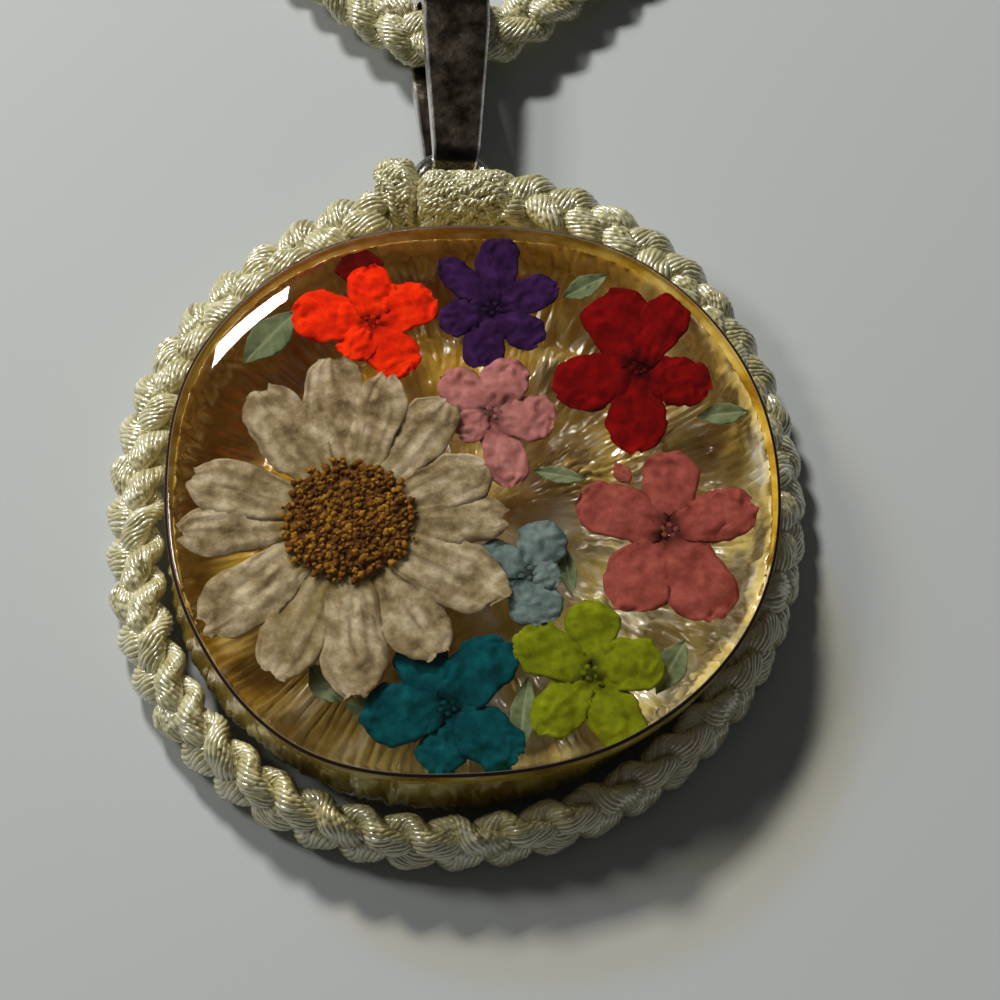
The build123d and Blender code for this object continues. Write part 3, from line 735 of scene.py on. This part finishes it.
flowers = [
    ("orange_flower", -0.339, 0.633, 0.244,
     [(171, 1.05, 0.73), (93, 0.87, 0.60), (28, 0.91, 0.70), (-57, 0.92, 0.66), (-118, 0.62, 0.52)]),
    ("purple_flower", 0.067, 0.689, 0.244,
     [(85, 1.12, 0.56), (132, 1.00, 0.43), (197, 0.72, 0.50), (260, 0.92, 0.50),
      (-40, 0.84, 0.50), (23, 0.94, 0.52)]),
    ("red_flower", 0.556, 0.456, 0.294,
     [(109, 1.02, 0.68), (64, 1.02, 0.50), (-20, 0.80, 0.57), (266, 1.05, 0.60), (198, 0.96, 0.64)]),
    ("pink_flower", 0.061, 0.283, 0.233,
     [(134, 0.90, 0.57), (68, 0.90, 0.62), (-8, 0.88, 0.66), (-73, 1.15, 0.55), (215, 0.55, 0.50)]),
    ("coral_flower", 0.639, -0.150, 0.300,
     [(88, 0.94, 0.56), (19, 0.93, 0.57), (-66, 1.06, 0.68), (-121, 1.00, 0.66), (157, 1.00, 0.60)]),
    ("blue_flower", 0.183, -0.300, 0.183,
     [(68, 1.02, 0.80), (148, 0.92, 0.60), (-77, 0.95, 0.86), (212, 0.58, 0.48), (-8, 0.55, 0.48)]),
    ("teal_flower", -0.067, -0.761, 0.261,
     [(120, 0.98, 0.58), (53, 1.04, 0.68), (-36, 0.98, 0.62), (-98, 0.74, 0.52), (186, 0.98, 0.72)]),
    ("lime_flower", 0.378, -0.644, 0.250,
     [(88, 0.96, 0.62), (152, 1.02, 0.64), (-131, 0.96, 0.56), (-62, 0.96, 0.62), (14, 0.88, 0.66)])]


def petalHalf(share, widest, root):
    # half width along a petal as a share: narrow root, widest past the middle, round tip
    if share < widest:
        return root + (1 - root) * math.sin(math.pi / 2 * share / widest)
    return math.sqrt(max(0.0, 1 - ((share - widest) / (1 - widest)) ** 2.6))


def headings(direction):
    turn = math.radians(direction)
    return Vector((math.cos(turn), math.sin(turn), 0)), Vector((-math.sin(turn), math.cos(turn), 0))


def sheetFaces(start, rows, columns):
    # a thin closed plate: a top sheet, a bottom sheet and the walls between them
    n = rows * columns
    faces = []
    for i in range(rows - 1):
        for j in range(columns - 1):
            a = start + i * columns + j
            faces.append((a, a + columns, a + columns + 1, a + 1))
            faces.append((a + n, a + n + 1, a + n + columns + 1, a + n + columns))
        a = start + i * columns
        b = a + columns - 1
        faces.append((a, a + n, a + n + columns, a + columns))
        faces.append((b, b + columns, b + n + columns, b + n))
    for j in range(columns - 1):
        a = start + j
        b = a + (rows - 1) * columns
        faces.append((a, a + 1, a + n + 1, a + n))
        faces.append((b, b + n, b + n + 1, b + 1))
    return faces


def petalMesh(points, faces, marks, centre, petal, root, base, style, seed):
    # one closed petal: a top sheet and a bottom sheet on the same outline
    rows, columns = flowerSet["along"], flowerSet["across"]
    direction, reach, width = petal
    ahead, aside = headings(direction)
    faces.extend(sheetFaces(len(points), rows, columns))
    for sheet in (1, -1):
        for i in range(rows):
            s = math.sin(math.pi / 2 * i / (rows - 1))
            half = width * max(style["blunt"], petalHalf(s, style["widest"], style["root"]))
            for j in range(columns):
                t = j / (columns - 1) * 2 - 1
                flank = 3 if t > 0 else 8
                ragged = ripple(s * 3.5, seed, flank) * 0.22 + ripple(s * 11, seed, flank) * 0.09
                tip = ripple(t * 1.2, seed, 1) * 0.06 + ripple(t * 4, seed, 2) * 0.018
                pull = style["notch"] * max(0.0, 1 - abs(t) * 1.6) * s ** 8
                d = root + (reach - root) * s * (1 + tip * s ** 3) - pull
                spot = centre + ahead * d + aside * (t * half * (1 + ragged))
                limit = flowerSet["limit"] + rimSwell(math.atan2(spot.y, spot.x))
                flat = math.hypot(spot.x, spot.y)
                if flat > limit:
                    spot *= limit / flat
                fold = ripple(spot.x * 0.8, spot.y * 0.8, seed) * 0.6
                fold += abs(ripple(spot.x * 1.7, spot.y * 1.7, seed + 5)) * 1.1 - 0.3
                fold += ripple(spot.x * 4.0, spot.y * 4.0, seed + 9) * 0.22
                ridge = style["ridges"] * math.cos(t * math.pi * 3.4 + s * 1.5 + seed) * (1 - s ** 4) * 0.5
                cup = style["lift"] * (1 - t * t) * math.sin(math.pi * (0.15 + 0.7 * s))
                rim = (1 - abs(t) ** 6) * (1 - s ** 10)
                z = base + cup + style["crumple"] * fold + ridge + sheet * 0.045 * (0.25 + 0.75 * rim)
                points.append((spot.x, spot.y, z))
                marks.append((s, t))


def addKnob(points, faces, centre, radius, height, seed, rough):
    # small crumpled dome
    start = len(points)
    rings, around = 6, 14
    for i in range(rings):
        a = math.pi / 2 * i / rings
        for b in turns(around):
            bumps = 1 + rough * ripple(math.cos(b) * 2, math.sin(b) * 2, seed + i * 0.4)
            x, y, z = ringSpot(b, radius * math.cos(a) * bumps, height * math.sin(a))
            points.append((centre.x + x, centre.y + y, centre.z + z))
    points.append((centre.x, centre.y, centre.z + height))
    points.append((centre.x, centre.y, centre.z - height * 0.3))
    tip, foot = len(points) - 2, len(points) - 1
    for k in range(around):
        a, b = start + k, start + (k + 1) % around
        top = (rings - 1) * around
        faces.extend((a + i, b + i, b + i + around, a + i + around) for i in range(0, top, around))
        faces.append((a + top, b + top, tip))
        faces.append((b, a, foot))


def camel(name):
    first, *rest = name.split("_")
    return first + "".join(word.capitalize() for word in rest)


def makeFlowers():
    rim, level = flowerSet["rim"], flowerSet["level"]
    for number, (name, x, y, size, petals) in enumerate(flowers):
        points, faces, marks = [], [], []
        centre = Vector((x * rim, y * rim, 0))
        size *= rim
        for k, (direction, reach, width) in enumerate(petals):
            base = level + 0.10 + flowerSet["tiers"][k % 3]
            petal = (direction, reach * size * flowerSet["longer"], width * size * flowerSet["fuller"] / 2)
            seed = number * 11.3 + k * 3.7
            petalMesh(points, faces, marks, centre, petal, size * 0.05, base, petalStyle, seed)
        # painted shade: darker at each petal's root and along its side edges, for the shade in the flower's
        # pit and under overlapping petals
        depth = [0.85 * math.exp(-(s / 0.13) ** 2) + 0.25 * max(0.0, abs(t) - 0.86) / 0.14 for s, t in marks]
        # five stamens round a pistil
        for k in range(5):
            a = 2 * math.pi * k / 5 + number
            spot = centre + Vector((0.40 * math.cos(a), 0.34 * math.sin(a), level + 0.30))
            addKnob(points, faces, spot, 0.19, 0.09, number * 5 + k, 0.5)
        # the stamens and the pistil are darkened too: partly their own darker colour, partly painted shade in
        # the flower's pit
        depth += [0.35] * (len(points) - len(depth))
        addKnob(points, faces, centre + Vector((0, 0, level + 0.34)), 0.30, 0.06, number, 0.4)
        depth += [0.80] * (len(points) - len(depth))
        piece = newPiece(camel(name), points, faces)
        floatLayer(piece, "depth", depth)
        mat = petalMaterial(camel(name) + "Petal", *petalShades[name])
        dress(piece, mat, name.replace("_flower", "_petal"), name)


makeFlowers()
print("small flowers pressed")

# Daisy
daisySet = {"x": -0.394, "y": -0.122, "size": 0.567, "spread": 1.2, "yellowPetal": 8, "eye": 3.9,
            "eyeHeight": 0.6, "grains": 640, "goldenTurn": 2.39996,
            "notches": (0.08, 0.32, 0.08), "petalRoot": 0.72}
daisyPetals = [(97, 1.08, 0.33), (78, 0.98, 0.26), (55, 0.96, 0.30), (23, 0.86, 0.29), (1, 0.91, 0.26),
               (-29, 1.00, 0.35), (-58, 0.99, 0.33), (-86, 1.07, 0.30), (-112, 1.02, 0.32),
               (-140, 1.02, 0.34), (184, 0.97, 0.27), (163, 0.95, 0.30), (123, 1.02, 0.33)]
daisyStyle = {"widest": 0.60, "root": 0.46, "blunt": 0.38, "ridges": 0.11, "lift": 0.12, "crumple": 0.19}


def daisyCentre():
    return Vector((daisySet["x"] * flowerSet["rim"], daisySet["y"] * flowerSet["rim"], 0))


def makeDaisyPetals():
    size, root = daisySet["size"] * flowerSet["rim"], daisySet["eye"] * daisySet["petalRoot"]
    points, faces, marks, veins, roots = [], [], [], [], []
    for k, (direction, reach, width) in enumerate(daisyPetals):
        base = flowerSet["daisyLevel"] + 0.10 + 0.07 * (k % 2)
        style = dict(daisyStyle, notch=daisySet["notches"][k % 3])
        petal = (direction, reach * size, width * size * daisySet["spread"] / 2)
        petalMesh(points, faces, marks, daisyCentre(), petal, root, base, style, 80 + k * 5.1)
        for s, t in marks[len(veins):]:
            line = 0.5 + 0.5 * math.cos(t * math.pi * 4.5 + ripple(s * 3, k * 2.0, 0) * 3)
            patch = 0.45 + 0.9 * ripple(s * 4, t * 3, k)
            veins.append(clamp((line ** 3) * patch, 0.8))
            tint = 0.85 * math.exp(-(s / 0.16) ** 2)
            if k == daisySet["yellowPetal"]:
                tint = max(tint, 0.45 * (1 - s) + 0.2 * ripple(s * 5, t * 4, 2))
            roots.append(clamp(tint))
    piece = newPiece("daisyPetals", points, faces)
    floatLayer(piece, "vein", veins)
    floatLayer(piece, "root", roots)
    stops = [(0.30, (0.095, 0.066, 0.027)), (0.48, (0.275, 0.215, 0.125)), (0.68, (0.54, 0.47, 0.345))]
    mat = driedMaterial("daisyPetalCream", 0.75, 0.08, (650.0, 5.0, 0.65), stops,
                        {"vein": (0.10, 0.065, 0.03), "root": (0.17, 0.125, 0.010)},
                        (1300.0, 5.0, 0.7), (0.10, 0.7))
    dress(piece, mat, "daisy_cream", "daisy_petals")


def makeDaisyDisc():
    # small grains on a low dome
    rng = random.Random(4)
    centre, eye, rise = daisyCentre(), daisySet["eye"], daisySet["eyeHeight"]
    points, faces = [], []
    centre.z = flowerSet["daisyLevel"] + 0.35
    addKnob(points, faces, centre, eye * 0.92, rise * 0.6, 1, 0.05)
    tones = [0.0] * len(points)
    for k in range(daisySet["grains"]):
        share = math.sqrt((k + 0.5) / daisySet["grains"])
        a = k * daisySet["goldenTurn"] + rng.uniform(-0.25, 0.25)
        r = share * eye * rng.uniform(0.93, 1.04)
        dome = math.sqrt(max(0.0, 1 - (share * 0.95) ** 2))
        spot = centre + Vector(ringSpot(a, r, rise * 0.55 * dome))
        addKnob(points, faces, spot, rng.uniform(0.10, 0.24), rng.uniform(0.08, 0.30), k * 0.7, 0.8)
        tones += [rng.random() ** 2] * (len(points) - len(tones))
    piece = newPiece("daisyDisc", points, faces)
    floatLayer(piece, "tone", tones)
    stops = [(0.28, (0.030, 0.009, 0.0006)), (0.5, (0.095, 0.032, 0.0018)), (0.75, (0.20, 0.080, 0.006))]
    mat = driedMaterial("daisyDiscBrown", 0.7, 0.12, (1500.0,), stops, {"tone": (0.34, 0.165, 0.012)},
                        (3000.0,), (0.06, 0.6))
    dress(piece, mat, "daisy_brown", "daisy_disc")


makeDaisyPetals()
makeDaisyDisc()
print("daisy pressed")

# Leaves and loose bits
leafTable = [
    # x, y, length, width as shares of the rim; direction in degrees
    (0.383, 0.789, 0.172, 0.083, 30), (0.828, 0.294, 0.167, 0.083, 8), (0.289, 0.067, 0.178, 0.061, -11),
    (-0.678, 0.589, 0.261, 0.128, 51), (0.628, -0.606, 0.206, 0.094, 61), (0.167, -0.772, 0.256, 0.083, 83),
    (-0.450, -0.667, 0.161, 0.100, -50), (-0.339, -0.744, 0.106, 0.061, -20),
    (0.311, -0.278, 0.183, 0.061, 100)]


def leafMesh(leaf, level, seed, curl):
    x, y, length, width, direction = leaf
    rim = flowerSet["rim"]
    ahead, aside = headings(direction)
    centre = Vector((x * rim, y * rim, 0))
    points, veins = [], []
    rows, columns = flowerSet["leafAlong"], flowerSet["leafAcross"]
    for sheet in (1, -1):
        for i in range(rows):
            s = i / (rows - 1) * 2 - 1
            half = width * rim / 2 * max(0.04, (1 - abs(s) ** 1.8)) * (1 + 0.12 * ripple(s * 4, seed, 1))
            for j in range(columns):
                t = j / (columns - 1) * 2 - 1
                spot = centre + ahead * (s * length * rim / 2) + aside * (t * half)
                fold = -curl * (1 - abs(t)) + 0.06 * ripple(spot.x * 2.4, spot.y * 2.4, seed)
                ribs = math.cos((s * 5 + abs(t) * 2.0) * math.pi)
                thick = sheet * 0.035 * (1 - abs(t) ** 6 * 0.7)
                points.append((spot.x, spot.y, level + 0.14 + fold + 0.03 * ribs * abs(t) + thick))
                veins.append(max(0.0, 1 - abs(t) * 7) * 0.7 + max(0.0, ribs - 0.75) * 0.8)
    return points, sheetFaces(0, rows, columns), veins


def makeLeaf(node, slotName, leaf, level, seed, mat, curl=0.12):
    points, faces, veins = leafMesh(leaf, level, seed, curl)
    piece = newPiece(camel(node), points, faces)
    floatLayer(piece, "vein", veins)
    dress(piece, mat, slotName, node)


sageStops = [(0.3, (0.065, 0.090, 0.042)), (0.52, (0.130, 0.165, 0.085)), (0.75, (0.21, 0.25, 0.15))]
sageLeaf = driedMaterial("sageLeafDry", 0.8, 0.08, (800.0, 5.0, 0.6), sageStops, {"vein": (0.25, 0.29, 0.18)},
                         (1500.0, 4.0, 0.7), (0.08, 0.7))
for number, leaf in enumerate(leafTable, start=1):
    makeLeaf("leaf_" + str(number), "sage_leaf", leaf, flowerSet["leafLevel"], number * 2.7, sageLeaf)
# painted shade: a dark red sheet at the top of the orange flower near the rim, where shade falls on it
shadedRed = petalMaterial("darkRedPetalDry", (0.100, 0.002, 0.001), (0.04, 0.001, 0.0005), (0.16, 0.004, 0.002))
makeLeaf("dark_red_petal", "dark_red_petal", (-0.385, 0.862, 0.172, 0.160, 12), flowerSet["leafLevel"], 31,
         shadedRed, -0.05)
coral = petalMaterial("coralBudDry", (0.26, 0.065, 0.045), (0.17, 0.035, 0.024), (0.35, 0.11, 0.08))
makeLeaf("coral_bud", "coral_bud", (0.494, 0.061, 0.094, 0.061, -60), flowerSet["level"], 37, coral, -0.08)
print("leaves laid in")

# Binding over the ring: fine threads laid side by side, with frayed ends standing off them
bindingSet = {
    "threads": 50, "radius": 0.18,
    "bundles": {
        # short bundles that cross one another on top, as in a knot, then single frayed threads;
        # thread: how many lie together, their radius, and the length of one turn
        "knotLoop": {"count": 150, "margin": 0.3, "past": 0.35, "lean": 0.9, "reach": (1.4, 2.6), "steps": 9,
                     "roll": 0.42, "inset": 0.30, "arch": 0.16, "thread": (3, 0.20, 1.1)},
        "frayedThread": {"count": 120, "margin": 0.5, "past": 0.0, "lean": 0.5, "reach": (0.5, 1.3),
                         "steps": 6, "roll": 0.4, "inset": 0.17, "arch": 0.0, "thread": (1, 0.07, 1.0)}}}


def bindingSpot(x, turn, inset):
    # point on the binding: the knot on the left, a dip where the ring passes, rounded ends
    knot = clamp((wrapSet["dip"] + 0.4 - x) / 0.8)
    middle = wrapSet["middle"] + wrapSet["knotShift"] * knot
    width = wrapSet["width"] + (wrapSet["knotWidth"] - wrapSet["width"]) * knot
    height = wrapSet["height"] + (wrapSet["knotHeight"] - wrapSet["height"]) * knot
    pinch = 1 - wrapSet["dipDepth"] * math.exp(-((x - wrapSet["dip"]) / 0.4) ** 2)
    half = (wrapSet["right"] - wrapSet["left"]) / 2
    end = min(1.0, abs(x - wrapSet["left"] - half) / half)
    pinch *= 1 - 0.22 * end ** 7
    size = pinch + 0.06 * ripple(x * 0.9, math.cos(turn) * 1.5, math.sin(turn) * 1.5)
    return Vector((x, middle + (width / 2 - inset) * size * math.cos(turn),
                   0.05 + height / 2 + (height / 2 - inset) * size * math.sin(turn)))


def bindingThread(name, spots, threads, radius, twist):
    core = Vector((0, wrapSet["middle"], wrapSet["height"] / 2))
    facings = [Vector((0, p.y - core.y, p.z - core.z)).normalized() for p in spots]
    sizes = {"Half Width": radius * 0.8, "Half Height": radius * 0.7, "Thread Radius": radius * 0.72,
             "Twist": twist, "Step": 0.14}
    return threadsAlong(name, spots, facings, threads, 5, sizes)


def makeBinding():
    left, right = wrapSet["left"] + 0.1, wrapSet["right"] - 0.1
    rng = random.Random(9)
    pieces = []
    for k in range(bindingSet["threads"]):
        turn = 2 * math.pi * k / bindingSet["threads"]
        inset = 0.34 + 0.14 * (k % 2)
        sway, lag = rng.uniform(0.04, 0.13), rng.uniform(0, 6.28)
        spots = []
        for i in range(31):
            around = turn + sway * math.sin(i / 30 * 7 + lag) + 0.10 * ripple(i * 0.2, k, 1)
            spots.append(bindingSpot(left + (right - left) * i / 30, around, inset))
        twist = rng.uniform(0.9, 1.4)
        pieces.append(bindingThread("bindingThread" + str(k), spots, 2, bindingSet["radius"], twist))
    for name, bundle in bindingSet["bundles"].items():
        for k in range(bundle["count"]):
            x = rng.uniform(left + bundle["margin"], right - bundle["margin"])
            turn = rng.uniform(-bundle["past"], math.pi + bundle["past"])
            lean, reach = rng.gauss(0.0, bundle["lean"]), rng.uniform(*bundle["reach"])
            spots = []
            for q in range(bundle["steps"] + 1):
                off = reach * (q / bundle["steps"] - 0.5)
                inset = bundle["inset"] - bundle["arch"] * math.sin(math.pi * q / bundle["steps"])
                spots.append(bindingSpot(min(right, max(left, x + off * math.cos(lean))),
                                         turn + off * math.sin(lean) * bundle["roll"], inset))
            pieces.append(bindingThread(name + str(k), spots, *bundle["thread"]))
    return pieces


def joinPieces(name, pieces):
    bpy.ops.object.select_all(action="DESELECT")
    for piece in pieces:
        piece.select_set(True)
    bpy.context.view_layer.objects.active = pieces[0]
    bpy.ops.object.join()
    pieces[0].name = name
    pieces[0].data.name = name
    return pieces[0]


dress(joinPieces("ringBinding", makeBinding()), goldCord, "wrap_thread", "ring_wrap")
print("ring bound")

# Metal: ring, bail and clasp keep their solids
bailSet = {"footWidth": 2.8, "topWidth": 4.4, "footY": 25.4, "topY": 36.4, "skew": 0.3, "ringTop": 3.43,
           "worn": (0.90, 0.97)}


def metalMaterial(name, dark, light, rough, bump, scale, stretch=None):
    mat, tree, shader = newMaterial(name, Metallic=1.0)
    grain = objectNoise(tree, scale, 5.0, 0.6, stretch)
    paint(shader, colourRamp(tree, grain, [(0.32, dark), (0.66, light)]))
    plug(mapRange(tree, grain, 0.0, 1.0, *rough), shader, "Roughness")
    addBump(shader, objectNoise(tree, scale * 2.5), bump, 0.5)
    return mat


def polishEdges(mat):
    # painted highlight: the strip's long edges are painted bright, by the distance from its middle line over
    # its half width
    tree = mat.node_tree
    shader = tree.nodes["Principled BSDF"]
    base = shader.inputs["Base Color"].links[0].from_socket
    axes = objectAxes(tree)
    shift = (ringX - bailSet["skew"] * bailSet["ringTop"]) * mm
    middle = calc(tree, "MULTIPLY_ADD", axes[2], bailSet["skew"], shift)
    off = calc(tree, "ABSOLUTE", calc(tree, "SUBTRACT", axes[0], middle))
    half = mapRange(tree, axes[1], bailSet["footY"] * mm, bailSet["topY"] * mm,
                    bailSet["footWidth"] / 2 * mm, bailSet["topWidth"] / 2 * mm)
    worn = mapRange(tree, calc(tree, "DIVIDE", off, half), *bailSet["worn"])
    paint(shader, mixColour(tree, worn, base, (0.70, 0.68, 0.64)))


def keepNode(node, mat):
    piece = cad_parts[node]
    piece.data.materials.clear()
    piece.data.materials.append(mat)


# the bail's silver is painted nearly black: painted shade and reflection for the dark surroundings the strip
# mirrors
bailSilver = metalMaterial("bailSilver", (0.024, 0.018, 0.012), (0.115, 0.093, 0.068), (0.14, 0.32), 0.05,
                           520.0)
polishEdges(bailSilver)
ringSilver = metalMaterial("ringSilver", (0.34, 0.32, 0.29), (0.80, 0.78, 0.74), (0.12, 0.30), 0.03, 900.0)
claspSilver = metalMaterial("claspSilver", (0.45, 0.44, 0.42), (0.62, 0.61, 0.58), (0.22, 0.36), 0.02, 500.0,
                            (0.15, 1, 1))
for node, mat in (("jump_ring", ringSilver), ("bail", bailSilver), ("clasp", claspSilver)):
    keepNode(node, mat)
print("metal finished")
